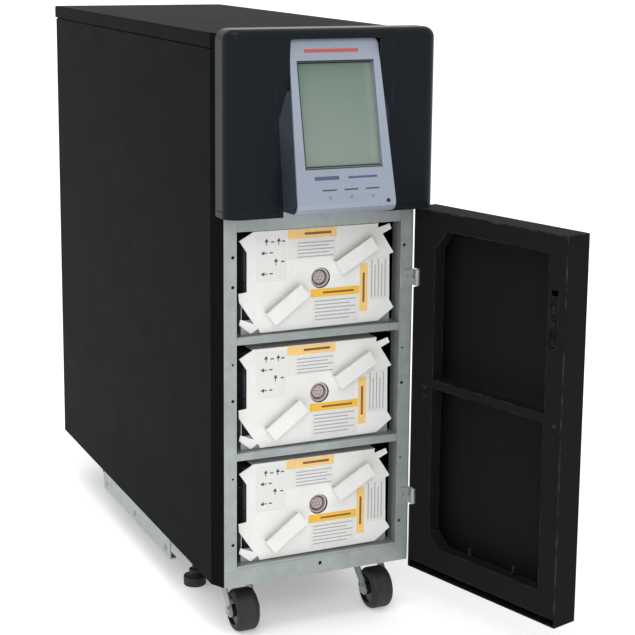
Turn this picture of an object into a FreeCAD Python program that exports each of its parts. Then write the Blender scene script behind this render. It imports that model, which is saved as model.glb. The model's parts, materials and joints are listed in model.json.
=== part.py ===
import FreeCAD, Part
import math
import os

V = FreeCAD.Vector
os.makedirs("parts", exist_ok=True)

# Tower power cabinet with three slide-out battery modules. X is to the right, the front faces -Y,
# Z is up. Millimetres. Everything is drawn about the middle of the cabinet, with the floor at FLOOR_Z,
# then moved so that the origin is the middle of the ground it covers with its door open.

# --- main sizes ---
WIDTH = 305.0
FRONT = -390.0  # plane of the front posts and rail
BACK = 410.0
HALF = WIDTH / 2
FLOOR_Z = -10.0
BASE_Z = 66.0  # underside of the base pan and of the side panels
PANEL_TOP = 808.5
COVER_TOP = 830.0
SHEET = 1.5
CORNER_IN = 11.0  # the vertical front corners are bevelled by this much in X
CORNER_BACK = 21.0  # and by this much in Y
MIDDLE = (52.51, -122.04)  # middle of the ground covered with the door open

# --- frame ---
POST_IN = 124.0
POST_OUT = 141.0
RAIL_LOW = 66.0
RAIL_HIGH = 91.0
BRACKET_Y = (-190.0, 155.0)
BRACKET_SCREW_YS = [-168.0, -14.0, 139.0]
BRACKET_LOW = 36.0
BRACKET_SCREW_Z = 48.0
SHELF_TOPS = [94.0, 257.5, 421.0]
SHELF_HALF = 122.0
SHELF_LIP = 10.5
BAY_DEPTH = 512.0
DECK_Z = 580.0
POST_HOLES = [(126.6, 2.3), (332.9, 2.3), (491.1, 2.3), (532.0, 2.3), (222.0, 1.6), (384.0, 1.6)]

# --- door ---
HINGE_X = 146.0
HINGE_Y = FRONT - 8.0
DOOR_OPEN = 106.2  # degrees from closed, as the door stands at rest
DOOR_NEAR = -4.0  # from the hinge axis to the door's hinge-side edge, which lies beyond the axis
DOOR_FAR = 278.0
DOOR_BACK = 4.0  # the closed door's inner face, behind the hinge axis
DOOR_THICK = 42.4
DOOR_LOW = 58.0
DOOR_HIGH = 586.0
HINGE_ZS = [153.0, 474.0]
HINGE_TALL = 23.0
PIN_R = 1.9
DOOR_INNER_Y = HINGE_Y + DOOR_BACK
DOOR_OUTER_Y = DOOR_INNER_Y - DOOR_THICK
OPENINGS = [(102.0, 334.0), (346.0, 560.0)]  # low and high edges of the liner's two openings
OPENING_U = (38.5, 247.0)  # their edges, measured from the hinge axis
DOOR_SCREWS = [(266.0, 334.0), (264.5, 316.5), (23.0, 333.0), (23.0, 320.0)]
LATCH_U = (252.0, 264.0)
LATCH_Z = (436.0, 513.0)
STUDS = [(107.0, 104.7), (190.0, 104.7)]

# --- head bezel and console ---
BEZEL_LOW = 590.0
BEZEL_HIGH = 837.0
BEZEL_DEEP = 44.0
BEZEL_WALL = 2.5
BEZEL_SEAM = 85.0
BEZEL_GROOVE = 598.0
FACE_TOP = (FRONT - 36.0, 823.0)
FACE_LOW = (FRONT - 86.0, 612.0)
FACE_HALF_TOP = 64.0
FACE_HALF_LOW = 70.5
CORNER_R = 7.0  # round corners of the console face
CHEEKS = [(598.0, 73.0), (626.0, 75.0), (720.0, 80.5), (757.0, 69.5)]  # height and half width
LCD_HALF = 54.2
LCD_LOW = 658.0
LCD_HIGH = 793.5
LAMPS = [(-24.0, 620.0, 2.0), (7.0, 620.0, 2.0), (38.0, 620.0, 2.0)]
BUTTON = (59.5, 612.5)

# --- rear fittings ---
MAINS_Z = 518.0  # middle of the breaker and the outlets
GLAND_Z = 400.0  # middle of the wiring cover and its glands
FAN_XS = [-68.0, 68.0]
FAN_Z = 700.0
FAN_FRONT = BACK - 32.0
FAN_SIDE = 59.5

# --- running gear ---
WHEEL_R = 30.0
AXLE_Z = FLOOR_Z + WHEEL_R
WHEEL_HALF = 16.5
AXLE_R = 3.1
KING_R = 4.0
RUNNING = 0.1  # radial clearance of every turning fit
FRONT_WHEEL = (104.0, -366.0)
FRONT_SWIVEL_Y = -340.0
REAR_WHEEL = (85.0, 322.0)
FOOT = (112.0, -186.0)
STUD_R = 4.0

# --- battery modules ---
MODULE_HIGH = 142.5
MODULE_FRONT = FRONT + 9.0
MODULE_OUTLINE = [  # the face's cut edge: x and height above the bay floor, from the lower left
    (-84.8, 1.5),
    (93.7, 3.5),
    (117.4, 20.9),
    (110.2, 32.5),
    (109.5, 97.6),
    (115.9, 99.8),
    (98.5, 127.3),
    (112.2, 133.7),
    (109.1, 141.1),
    (91.3, 136.0),
    (91.3, MODULE_HIGH),
    (-94.4, MODULE_HIGH),
    (-115.5, 131.0),
    (-104.5, 114.7),
    (-104.5, 60.0),
    (-116.5, 58.6),
    (-115.6, 47.0),
    (-94.2, 15.0),
    (-113.7, 23.0),
    (-115.6, 15.2),
    (-98.8, 1.5),
    (-87.7, 8.2),
]
SOCKET = (4.5, 71.5, 14.5)  # x, height and radius of the hole in the face
STRAPS = [(-48.0, 40.0, 37.0), (55.0, 101.4, 31.0)]  # middle of each pull strap and its slope
STRAP_OUT = 12.0
STRAP_HALF = (31.0, 10.5)
CARD = 1.2
BLOCK = (100.0, 151.0, 65.0)
BLOCK_START = FRONT + 27.0


def export(shape, name):
    moved = shape.copy()
    moved.translate(V(-MIDDLE[0], -MIDDLE[1], -FLOOR_Z))
    moved.exportStep("parts/" + name + ".step")


def box(x0, x1, y0, y1, z0, z1):
    return Part.makeBox(x1 - x0, y1 - y0, z1 - z0, V(x0, y0, z0))


def rod(x, y, z, r, h, axis=V(0, 0, 1)):
    return Part.makeCylinder(r, h, V(x, y, z), axis)


def prism(points, low, high):
    """A plan outline raised from one height to another."""
    wire = Part.makePolygon([V(x, y, low) for x, y in points] + [V(points[0][0], points[0][1], low)])
    return Part.Face(wire).extrude(V(0, 0, high - low))


def side_prism(points, x0, x1):
    """An outline of (y, z) points carried across in X."""
    wire = Part.makePolygon([V(x0, y, z) for y, z in points] + [V(x0, points[0][0], points[0][1])])
    return Part.Face(wire).extrude(V(x1 - x0, 0, 0))


def front_prism(points, y0, y1):
    """An outline of (x, z) points carried back in Y."""
    wire = Part.makePolygon([V(x, y0, z) for x, z in points] + [V(points[0][0], y0, points[0][1])])
    return Part.Face(wire).extrude(V(0, y1 - y0, 0))


def join(shapes):
    whole = shapes[0]
    if len(shapes) > 1:
        whole = whole.fuse(shapes[1:])
    return whole.removeSplitter()


def cut(shape, tools):
    return shape.cut(tools)


def mirror_x(shape):
    return shape.mirror(V(0, 0, 0), V(1, 0, 0))


def both(shape):
    return Part.makeCompound([shape, mirror_x(shape)])


def round_edges(shape, radius, wanted):
    edges = [e for e in shape.Edges if wanted(e)]
    return shape.makeFillet(radius, edges)


def upright(e):
    a, b = e.Vertexes[0].Point, e.Vertexes[-1].Point
    return abs(a.x - b.x) < 1e-6 and abs(a.y - b.y) < 1e-6 and abs(a.z - b.z) > 1


# ---------------------------------------------------------------- cabinet shell


def shell_outline(inset=0.0, back=BACK):
    """Plan outline of the cabinet with its bevelled front corners."""
    h = HALF - inset
    c = POST_OUT + 0.5 - inset * 0.6
    f = FRONT + inset
    return [(-h, back), (-h, FRONT + CORNER_BACK), (-c, f), (c, f), (h, FRONT + CORNER_BACK), (h, back)]


def side_panel():
    """The left side panel: a flat sheet whose front edge folds round the bevelled corner."""
    t = 1.2
    h = HALF
    body = prism(
        [
            (-h, BACK - 6.8),
            (-h, FRONT + CORNER_BACK),
            (-POST_OUT - 0.3, FRONT),
            (-POST_OUT - 0.3, FRONT + 2.4),
            (-h + t, FRONT + CORNER_BACK + 0.3),
            (-h + t, BACK - 8),
            (-h + 12, BACK - 8),
            (-h + 12, BACK - 6.8),
        ],
        BASE_Z,
        PANEL_TOP,
    )
    hem = box(-h + t, -h + 14, FRONT + CORNER_BACK + 20, BACK - 20, PANEL_TOP - 1.2, PANEL_TOP)
    return join([body, hem])


def base_pan():
    """Floor of the cabinet with a turned-up flange along each side. It ends just behind the front rail."""
    floor = prism(
        [
            (-150.9, BACK - 8.5),
            (-150.9, FRONT + CORNER_BACK + 1),
            (-141.0, FRONT + 2.2),
            (141.0, FRONT + 2.2),
            (150.9, FRONT + CORNER_BACK + 1),
            (150.9, BACK - 8.5),
        ],
        BASE_Z,
        BASE_Z + 2,
    )
    sides = [box(s * 150 - 0.9, s * 150 + 0.9, FRONT + 40, BACK - 40, BASE_Z + 2, BASE_Z + 18) for s in (-1, 1)]
    pan = join([floor] + sides)
    holes = [rod(s * FOOT[0], FOOT[1], BASE_Z - 1, STUD_R + 0.6, 6) for s in (-1, 1)]
    slots = [box(-60, 60, y, y + 8, BASE_Z - 1, BASE_Z + 4) for y in range(-120, 200, 32)]
    return cut(pan, holes + slots)


def front_rail():
    """Galvanised cross rail at the foot of the bays."""
    face = box(-POST_OUT, POST_OUT, FRONT, FRONT + SHEET, RAIL_LOW, RAIL_HIGH)
    top = box(-POST_OUT, POST_OUT, FRONT, FRONT + 28, RAIL_HIGH - SHEET, RAIL_HIGH)
    leg = box(-POST_OUT, POST_OUT, FRONT + 28 - SHEET, FRONT + 28, BASE_Z + 2, RAIL_HIGH)
    rail = join([face, top, leg])
    return cut(rail, [rod(4, FRONT - 1, 81, 2.6, 4, V(0, 1, 0))])


def front_post():
    """Left front post: a folded channel with a punched face."""
    face = box(-POST_OUT, -POST_IN, FRONT, FRONT + SHEET, RAIL_HIGH, DECK_Z)
    web = box(-POST_IN, -POST_IN + SHEET, FRONT, FRONT + 26, RAIL_HIGH, DECK_Z)
    back = box(-POST_OUT, -POST_IN, FRONT + 24.5, FRONT + 26, RAIL_HIGH, DECK_Z)
    post = join([face, web, back])
    return cut(post, [rod(-128.0, FRONT - 1, z, r, 4, V(0, 1, 0)) for z, r in POST_HOLES])


def shelf(top):
    """One bay floor, with a front lip that stops short of the rail, turned-down sides and a stop at the back."""
    y1 = FRONT + BAY_DEPTH
    plate = box(-SHELF_HALF, SHELF_HALF, FRONT + 0.5, y1, top - SHEET, top)
    lip_low = max(top - SHELF_LIP, RAIL_HIGH + 0.2)
    lip = box(-SHELF_HALF, SHELF_HALF, FRONT + 0.5, FRONT + 2, lip_low, top)
    sides = [
        box(-SHELF_HALF, -SHELF_HALF + SHEET, FRONT + 30, y1, top - 20, top),
        box(SHELF_HALF - SHEET, SHELF_HALF, FRONT + 30, y1, top - 20, top),
    ]
    stop = box(-SHELF_HALF, SHELF_HALF, y1 - SHEET, y1, top, top + 62)
    body = join([plate, lip, stop] + sides)
    reliefs = [box(-90, -30, y, y + 26, top - 5, top + 1) for y in range(-330, 60, 60)]
    reliefs += [box(30, 90, y, y + 26, top - 5, top + 1) for y in range(-330, 60, 60)]
    window = box(-22, 22, y1 - 4, y1 + 2, top + 26, top + 46)
    return cut(body, reliefs + [window])


def bay_uprights():
    """Two channels behind the bays, which carry the backs of the shelves."""
    y1 = FRONT + BAY_DEPTH
    left = join(
        [
            box(-SHELF_HALF - SHEET, -SHELF_HALF, y1 - 40, y1 + 2, BASE_Z + 2, DECK_Z),
            box(-148, -SHELF_HALF, y1 + 0.5, y1 + 2, BASE_Z + 2, DECK_Z),
        ]
    )
    return both(left)


def electronics_deck():
    """Sheet between the battery bays and the power electronics, lipped at the front."""
    deck = prism(
        [
            (-150.9, BACK - 28),
            (-150.9, FRONT + CORNER_BACK + 1),
            (-141.0, FRONT + 3),
            (-141.0, FRONT + 0.5),
            (141.0, FRONT + 0.5),
            (141.0, FRONT + 3),
            (150.9, FRONT + CORNER_BACK + 1),
            (150.9, BACK - 28),
        ],
        DECK_Z,
        DECK_Z + SHEET,
    )
    lip = box(-122, 122, FRONT + 0.5, FRONT + 2, DECK_Z - 14, DECK_Z)
    riser = box(-141, 141, FRONT + 0.5, FRONT + 2, DECK_Z + SHEET, BEZEL_LOW + 10)
    slots = [box(-40, 40, y, y + 8, DECK_Z - 2, DECK_Z + 3) for y in range(150, 330, 20)]
    return cut(join([deck, lip, riser]), slots)


def top_cover():
    """Shallow lid on a recessed neck, so that a groove runs round the cabinet below its skirt."""
    skirt_low = PANEL_TOP + 2.2
    outer = prism(shell_outline(), skirt_low, COVER_TOP)
    outer = round_edges(outer, 2.5, lambda e: all(abs(v.Point.z - COVER_TOP) < 1e-6 for v in e.Vertexes))
    neck = prism(shell_outline(3.0, BACK - 3), PANEL_TOP, skirt_low + 1)
    inner = prism(shell_outline(1.5, BACK - 1.5), skirt_low + 1.2, COVER_TOP - 2)
    mouth = prism(shell_outline(4.5, BACK - 4.5), PANEL_TOP - 1, skirt_low + 2)
    return cut(join([outer, neck]), [inner, mouth])


def rear_panel():
    """Back sheet with vents, fan grilles and openings for the mains fittings."""
    sheet = box(-151.0, 151.0, BACK - 6.5, BACK - 5, BASE_Z, PANEL_TOP)
    tools = []
    for cx in FAN_XS:
        for r0, r1 in ((16, 24), (29, 37), (42, 50)):
            ring = rod(cx, BACK - 8, FAN_Z, r1, 6, V(0, 1, 0)).cut(rod(cx, BACK - 8, FAN_Z, r0, 6, V(0, 1, 0)))
            arm = Part.makeBox(120, 8, 5, V(cx - 60, BACK - 9, FAN_Z - 2.5))
            arms = [arm.copy().rotate(V(cx, 0, FAN_Z), V(0, 1, 0), a) for a in (45, 135)]
            tools.append(ring.cut(arms))
    for row in range(9):
        for col in range(4):
            x = -123 + col * 64
            z = 100 + row * 16
            tools.append(box(x, x + 54, BACK - 8, BACK - 3, z, z + 6))
    z = MAINS_Z
    tools.append(box(-130, -76, BACK - 8, BACK - 3, z - 40, z + 40))
    tools.append(box(-40, 130, BACK - 8, BACK - 3, z - 40, z + 40))
    tools += [rod(x, BACK - 8, GLAND_Z, 14, 6, V(0, 1, 0)) for x in (60, 100)]
    return cut(sheet, tools)


def fan_frame(cx):
    """A 119 mm axial fan housing: square flanges, a round duct and the motor seat on four struts."""
    y0 = FAN_FRONT
    y1 = BACK - 6.8
    block = box(cx - FAN_SIDE, cx + FAN_SIDE, y0, y1, FAN_Z - FAN_SIDE, FAN_Z + FAN_SIDE)
    block = round_edges(block, 6, lambda e: along_y(e))
    duct = rod(cx, y0 - 1, FAN_Z, 57.5, 40, V(0, 1, 0))
    spots = [(a * 52.5, b * 52.5) for a in (-1, 1) for b in (-1, 1)]
    corners = [rod(cx + a, y0 - 1, FAN_Z + b, 2.2, 40, V(0, 1, 0)) for a, b in spots]
    frame = cut(block, [duct] + corners)
    seat = rod(cx, y1 - 4, FAN_Z, 20, 4, V(0, 1, 0))
    struts = [
        Part.makeBox(40, 3, 5, V(cx + 18.5, y1 - 3.5, FAN_Z - 2.5)).rotate(V(cx, 0, FAN_Z), V(0, 1, 0), a)
        for a in (20, 110, 200, 290)
    ]
    spindle = rod(cx, y1 - 14, FAN_Z, 1.5, 11, V(0, 1, 0))
    return join([frame, seat] + struts + [spindle])


def along_y(e):
    a, b = e.Vertexes[0].Point, e.Vertexes[-1].Point
    return abs(a.x - b.x) < 1e-6 and abs(a.z - b.z) < 1e-6 and abs(a.y - b.y) > 1


def fan_rotor(cx):
    """Hub and seven raked blades, turning on the spindle of the housing."""
    y0 = FAN_FRONT + 2
    y1 = BACK - 12.2
    hub = rod(cx, y0, FAN_Z, 19, y1 - y0, V(0, 1, 0))
    hub = hub.cut(rod(cx, y1 - 9.5, FAN_Z, 1.5 + RUNNING, 11, V(0, 1, 0)))
    blades = []
    for n in range(7):
        blade = Part.makeBox(36, 1.6, 20, V(cx + 17, -0.8, -10))
        blade = blade.rotate(V(cx, 0, 0), V(1, 0, 0), 52)
        blade = blade.translate(V(0, (y0 + y1) / 2, FAN_Z)).rotate(V(cx, 0, FAN_Z), V(0, 1, 0), n * 360.0 / 7)
        blades.append(blade)
    return join([hub] + blades)


# ---------------------------------------------------------------- head bezel and console


def bezel_solid(inset):
    """Head moulding with round upright corners and a rolled top edge."""
    x = HALF - inset
    y = FRONT - BEZEL_DEEP + inset
    back = FRONT + (30 if inset else 0)
    low = BEZEL_LOW - (5 if inset else 0)
    block = box(-x, x, y, back, low, BEZEL_HIGH - inset)
    block = round_edges(block, 20 - inset, lambda e: upright(e) and abs(e.Vertexes[0].Point.y - y) < 1e-6)
    top = BEZEL_HIGH - inset

    def rim(e):
        on_top = all(abs(v.Point.z - top) < 1e-6 for v in e.Vertexes)
        at_back = all(abs(v.Point.y - back) < 1e-6 for v in e.Vertexes)
        return on_top and not at_back

    return round_edges(block, 15 - inset, rim)


def face_y(z):
    """Y of the sloping console face at a height."""
    (y0, z0), (y1, z1) = FACE_TOP, FACE_LOW
    return y0 + (z0 - z) * (y1 - y0) / (z0 - z1)


def face_half(z):
    (_, z0), (_, z1) = FACE_TOP, FACE_LOW
    return FACE_HALF_TOP + (z0 - z) * (FACE_HALF_LOW - FACE_HALF_TOP) / (z0 - z1)


def face_profile(depth):
    """Side outline of the console face, set back by a depth, with its lower edge rolled under."""
    y0, z0 = FACE_TOP
    y1, z1 = FACE_LOW
    pts = [(y0 + depth, z0 - depth * 0.2), (y1 + depth, z1)]
    centre = (y1 + 15, z1 - 1)
    r = 15 - depth
    pts += [(centre[0] - r * math.cos(a), centre[1] - r * math.sin(a)) for a in (0.35, 0.75, 1.15, 1.5)]
    pts.append((FRONT - 40.0, centre[1] - r * math.sin(1.5) - 0.5 if depth else centre[1] - 15.4))
    return pts


def face_outline():
    """The console face seen from the front: wider at the foot, with round corners."""
    top = FACE_TOP[1]
    low = FACE_LOW[1] - 16
    r = CORNER_R
    steps = [n * math.pi / 12 for n in range(7)]
    right = [(face_half(low) - r + r * math.sin(t), low + r - r * math.cos(t)) for t in steps]
    right += [(face_half(top) - r + r * math.cos(t), top - r + r * math.sin(t)) for t in steps]
    left = [(-x, z) for x, z in reversed(right)]
    return front_prism(right + left, FRONT - 110, FRONT + 10)


def face_taper(extra=0.0):
    """A prism that narrows to the top like the face, past both of its ends."""
    top = FACE_TOP[1] + 8
    low = FACE_LOW[1] - 30
    a = face_half(top) + extra
    b = face_half(low) + extra
    return front_prism([(-a, top), (a, top), (b, low), (-b, low)], FRONT - 110, FRONT + 10)


def display_face():
    """Silver console panel with lamp holes and a collar round the screen opening."""
    front = face_profile(0)
    rear = face_profile(3)
    panel = side_prism(front[:-1] + list(reversed(rear[:-1])), -90, 90)
    panel = panel.common(face_outline())
    collar = slab_on_face(-LCD_HALF - 2, LCD_HALF + 2, LCD_LOW - 2, LCD_HIGH + 2, 2.0, 7.0)
    panel = join([panel, collar])
    opening = front_prism(
        [(-LCD_HALF, LCD_LOW), (LCD_HALF, LCD_LOW), (LCD_HALF, LCD_HIGH), (-LCD_HALF, LCD_HIGH)],
        FRONT - 110,
        FRONT,
    )
    holes = [rod(x, FRONT - 110, z, r + 0.05, 120, V(0, 1, 0)) for x, z, r in LAMPS]
    holes.append(rod(BUTTON[0], FRONT - 110, BUTTON[1], 2.7, 120, V(0, 1, 0)))
    return cut(panel, [opening] + holes)


def housing_section(z, base, half, y):
    return Part.makePolygon(
        [
            V(-base, FRONT - 30, z),
            V(-base, FRONT - BEZEL_DEEP, z),
            V(-half, y, z),
            V(half, y, z),
            V(base, FRONT - BEZEL_DEEP, z),
            V(base, FRONT - 30, z),
            V(-base, FRONT - 30, z),
        ]
    )


def display_housing():
    """Slate wedge behind the silver face, with flared cheeks and a hollow for the screen."""
    wires = [housing_section(z, base, face_half(z) - 0.4, face_y(z) + 3.0) for z, base in CHEEKS[1:]]
    wedge = Part.makeLoft(wires, True, True)
    low_z, low_base = CHEEKS[0]
    lowest = housing_section(low_z, low_base, face_half(low_z) - 1.5, FRONT - 70.5)
    foot = Part.makeLoft([lowest, wires[0]], True, True)
    spine = side_prism(
        [(FRONT - 30, 757), (face_y(757) + 3, 757), (face_y(819) + 3, 819), (FRONT - 30, 819)], -90, 90
    )
    spine = spine.common(face_taper(-0.4))
    body = join([foot, wedge, spine])
    keep_clear = side_prism(
        [(y - 0.0, z) for y, z in face_profile(3)[:-1]] + [(FRONT - 120, 575), (FRONT - 120, 840)], -100, 100
    )
    body = body.cut(keep_clear)
    pocket_low, pocket_high = LCD_LOW - 21, LCD_HIGH + 12
    pocket = side_prism(
        [
            (FRONT - 29, pocket_low),
            (face_y(pocket_low) + 12, pocket_low),
            (face_y(pocket_high) + 12, pocket_high),
            (FRONT - 29, pocket_high),
        ],
        -LCD_HALF - 3,
        LCD_HALF + 3,
    )
    window = front_prism(
        [
            (-LCD_HALF - 2.5, LCD_LOW - 2.5),
            (LCD_HALF + 2.5, LCD_LOW - 2.5),
            (LCD_HALF + 2.5, LCD_HIGH + 2.5),
            (-LCD_HALF - 2.5, LCD_HIGH + 2.5),
        ],
        FRONT - 110,
        FRONT - 20,
    )
    lamp_bores = [rod(x, FRONT - 110, z, r + 0.4, 90, V(0, 1, 0)) for x, z, r in LAMPS]
    lamp_bores.append(rod(BUTTON[0], FRONT - 110, BUTTON[1], 3.2, 90, V(0, 1, 0)))
    back_cut = box(-69, 69, FRONT - 45, FRONT - 29, low_z + 6, pocket_low)
    return cut(body, [pocket, window, back_cut] + lamp_bores)


def slab_on_face(x0, x1, z0, z1, front, back):
    """A plate parallel to the sloping face, between two depths behind it."""
    return side_prism(
        [
            (face_y(z0) + front, z0),
            (face_y(z0) + back, z0),
            (face_y(z1) + back, z1),
            (face_y(z1) + front, z1),
        ],
        x0,
        x1,
    )


def display_window():
    return slab_on_face(-LCD_HALF - 2, LCD_HALF + 2, LCD_LOW - 2, LCD_HIGH + 2, 7.2, 8.6)


def lcd_module():
    """Screen glass on its frame and board."""
    frame = slab_on_face(-LCD_HALF - 2, LCD_HALF + 2, LCD_LOW - 2, LCD_HIGH + 2, 8.7, 11.9)
    board = slab_on_face(-LCD_HALF - 2, LCD_HALF + 2, LCD_LOW - 10, LCD_HIGH + 8, 12.2, 13.6)
    return join([frame, slab_on_face(-40, 40, LCD_LOW + 5, LCD_HIGH - 5, 11.9, 12.2), board])


def led_lenses():
    out = []
    for x, z, r in LAMPS:
        y = face_y(z)
        body = rod(x, y - 1.2, z, r - 0.1, 16, V(0, 1, 0))
        out.append(round_edges(body, 0.8, lambda e: e.BoundBox.YMax < y - 1.1))
    return Part.makeCompound(out)


def console_button():
    """Small push button at the lower right of the face."""
    y = face_y(BUTTON[1])
    cap = rod(BUTTON[0], y - 1.6, BUTTON[1], 2.4, 16, V(0, 1, 0))
    flange = rod(BUTTON[0], y + 6, BUTTON[1], 3.0, 1.5, V(0, 1, 0))
    return join([cap, flange])


def control_board():
    """Board behind the face that reads the button, drives the lamps and feeds the screen."""
    y = FRONT - 25.4
    board = box(-66, 66, y - 1.6, y, 604, 800)
    chips = [
        box(-50, -22, y, y + 2.5, 700, 728),
        box(0, 14, y, y + 1.5, 690, 712),
        box(28, 54, y, y + 9, 742, 752),
        box(-20, 20, y, y + 7, 610, 620),
    ]
    spacers = [rod(x, FRONT - 30, z, 3, 3.0, V(0, 1, 0)) for x in (-62.5, 62.5) for z in (640, 750)]
    return join([board] + chips + spacers)


def bezel_centre_and_wings():
    whole = cut(bezel_solid(0.0), [bezel_solid(BEZEL_WALL)])
    band = box(-HALF - 1, HALF + 1, FRONT - 60, FRONT - 6, BEZEL_GROOVE, BEZEL_GROOVE + 1.2)
    whole = cut(whole, [band.cut(bezel_solid(1.2))])
    mask = box(-BEZEL_SEAM + 0.3, BEZEL_SEAM - 0.3, FRONT - 80, FRONT + 10, BEZEL_LOW - 5, BEZEL_HIGH + 5)
    centre = whole.common(mask)
    side = [(CHEEKS[0][1] + 0.4, BEZEL_LOW - 6)] + [(half + 0.4, z + 0.2) for z, half in CHEEKS]
    side += [(face_half(757) + 0.6, CHEEKS[-1][0] + 0.2), (face_half(FACE_TOP[1]) + 0.6, FACE_TOP[1] + 0.6)]
    clear = front_prism(side + [(-x, z) for x, z in reversed(side)], FRONT - 90, FRONT - 20)
    centre = cut(centre, [clear])
    wing_mask = box(BEZEL_SEAM, HALF + 5, FRONT - 80, FRONT + 10, BEZEL_LOW - 5, BEZEL_HIGH + 5)
    wing = whole.common(wing_mask)
    ribs = [box(BEZEL_SEAM + 0.0, BEZEL_SEAM + 1.5, FRONT - 41.6, FRONT - 10, BEZEL_LOW + 5, BEZEL_HIGH - 20)]
    return centre, join([wing] + ribs)


# ---------------------------------------------------------------- door


def swing(shape, angle=DOOR_OPEN):
    """Turns a piece drawn on the closed door to the way the door stands."""
    return shape.rotate(V(HINGE_X, HINGE_Y, 0), V(0, 0, 1), angle)


def door_x(u):
    """X on the closed door at a distance from the hinge axis."""
    return HINGE_X - u


def door_skin():
    """Outer pan: a flat face with four folded walls, open towards the cabinet."""
    x0, x1 = door_x(DOOR_FAR), door_x(DOOR_NEAR)
    block = box(x0, x1, DOOR_OUTER_Y, DOOR_INNER_Y, DOOR_LOW, DOOR_HIGH)
    block = round_edges(block, 3, lambda e: all(abs(v.Point.y - DOOR_OUTER_Y) < 1e-6 for v in e.Vertexes))
    hollow = box(x0 + 1.5, x1 - 1.5, DOOR_OUTER_Y + 1.5, DOOR_INNER_Y + 1, DOOR_LOW + 1.5, DOOR_HIGH - 1.5)
    return cut(block, [hollow] + [hinge_notch(z) for z in HINGE_ZS])


def hinge_notch(z):
    """Room in the door's hinge-side edge for a hinge to turn in."""
    return box(HINGE_X - 9, HINGE_X + 6, HINGE_Y - 9, HINGE_Y + 6, z - 2, z + HINGE_TALL + 2)


def opening_outline(low, high, top):
    """One door opening, with a clipped corner on the hinge side."""
    a = door_x(OPENING_U[1])
    b = door_x(OPENING_U[0])
    if top:
        return [(a, low), (b, low), (b, high - 28), (b - 22, high), (a, high)]
    return [(a, low), (b - 20, low), (b, low + 20), (b, high), (a, high)]


def door_inner_frame():
    """Inner liner with two openings, folded back round each one, and a stiffener between them."""
    x0, x1 = door_x(DOOR_FAR) + 1.5, door_x(DOOR_NEAR) - 1.5
    low, high = DOOR_LOW + 11.0, DOOR_HIGH - 1.5
    y0, y1 = DOOR_INNER_Y - SHEET, DOOR_INNER_Y
    plate = box(x0, x1, y0, y1, low, high)
    foot = box(x0, x1, DOOR_OUTER_Y + 1.5, y1, low, low + SHEET)
    walls = []
    holes = []
    for n, (a, b) in enumerate(OPENINGS):
        outline = opening_outline(a, b, n == 1)
        holes.append(front_prism(outline, DOOR_OUTER_Y, DOOR_INNER_Y + 1))
        cx = sum(p[0] for p in outline) / len(outline)
        cz = sum(p[1] for p in outline) / len(outline)
        grown = [(x + (1.5 if x > cx else -1.5), z + (1.5 if z > cz else -1.5)) for x, z in outline]
        walls.append(front_prism(grown, DOOR_INNER_Y - 18, DOOR_INNER_Y))
    frame = cut(join([plate, foot] + walls), holes)
    slot = box(door_x(LATCH_U[1]), door_x(LATCH_U[0]), DOOR_INNER_Y - 3, DOOR_INNER_Y + 1, *LATCH_Z)
    screws = [rod(door_x(u), DOOR_INNER_Y - 3, z, 1.8, 5, V(0, 1, 0)) for u, z in DOOR_SCREWS]
    return cut(frame, [slot] + screws + [hinge_notch(z) for z in HINGE_ZS])


def screw(x, y, z, axis, head_r=3.4, head_h=1.8, shank_r=1.7, shank=6.0):
    """Pan head screw. The axis points from the head's outside into the work."""
    a = V(*axis)
    start = V(x, y, z) - a * head_h
    head = Part.makeCylinder(head_r, head_h, start, a)
    head = head.makeFillet(head_h * 0.6, [e for e in head.Edges if (e.BoundBox.Center - start).Length < 0.3])
    u = V(a.y, a.z, a.x)
    w = a.cross(u)
    tools = []
    for p, q in ((u, w), (w, u)):
        c = start - p * 1.9 - q * 0.35 - a * 0.1
        slot = Part.makePolygon([c, c + p * 3.8, c + p * 3.8 + q * 0.7, c + q * 0.7, c])
        tools.append(Part.Face(slot).extrude(a * 1.0))
    body = Part.makeCylinder(shank_r, shank, V(x, y, z), a)
    return head.fuse(body).cut(tools).removeSplitter()


def door_fasteners():
    """Screws and welded studs of the liner, drawn on the closed door."""
    out = [screw(door_x(u), DOOR_INNER_Y, z, (0, -1, 0), 3.2, 1.6, 1.7, 4.0) for u, z in DOOR_SCREWS]
    for u, z in STUDS:
        out.append(rod(door_x(u), DOOR_INNER_Y - 14, z, 2.4, 10, V(0, 0, 1)))
    return Part.makeCompound(out)


def door_latch():
    """Sliding catch in the liner's slot, with a finger tab and two blunt hooks."""
    x0, x1 = door_x(LATCH_U[1]) + 0.5, door_x(LATCH_U[0]) - 0.5
    y = DOOR_INNER_Y
    z = LATCH_Z[0]
    bar = box(x0, x1, y - 5.5, y - 2.0, z - 7, z + 68)
    tab = box(x0 + 2, x1 - 2, y - 2.0, y + 1.6, z + 3, z + 15)
    hooks = [box(x0 + 3, x1 - 3, y - 2.0, y + 2.0, z + a, z + a + 7) for a in (27, 47)]
    return join([bar, tab] + hooks)


def hinge_fixed(z):
    """Cabinet half of one hinge: a plate on the post, an arm and the lower knuckle."""
    y = FRONT
    plate = box(126, HINGE_X - 1, y - 2, y, z, z + HINGE_TALL)
    arm = box(HINGE_X - 4, HINGE_X - 1, HINGE_Y, y, z, z + 11)
    knuckle = rod(HINGE_X, HINGE_Y, z, 4, 11)
    bore = rod(HINGE_X, HINGE_Y, z - 1, PIN_R + RUNNING, 13)
    holes = [rod(x, y - 3, z + HINGE_TALL / 2, 1.9, 5, V(0, 1, 0)) for x in (131, 139)]
    return cut(join([plate, arm, knuckle]), [bore] + holes)


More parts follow.
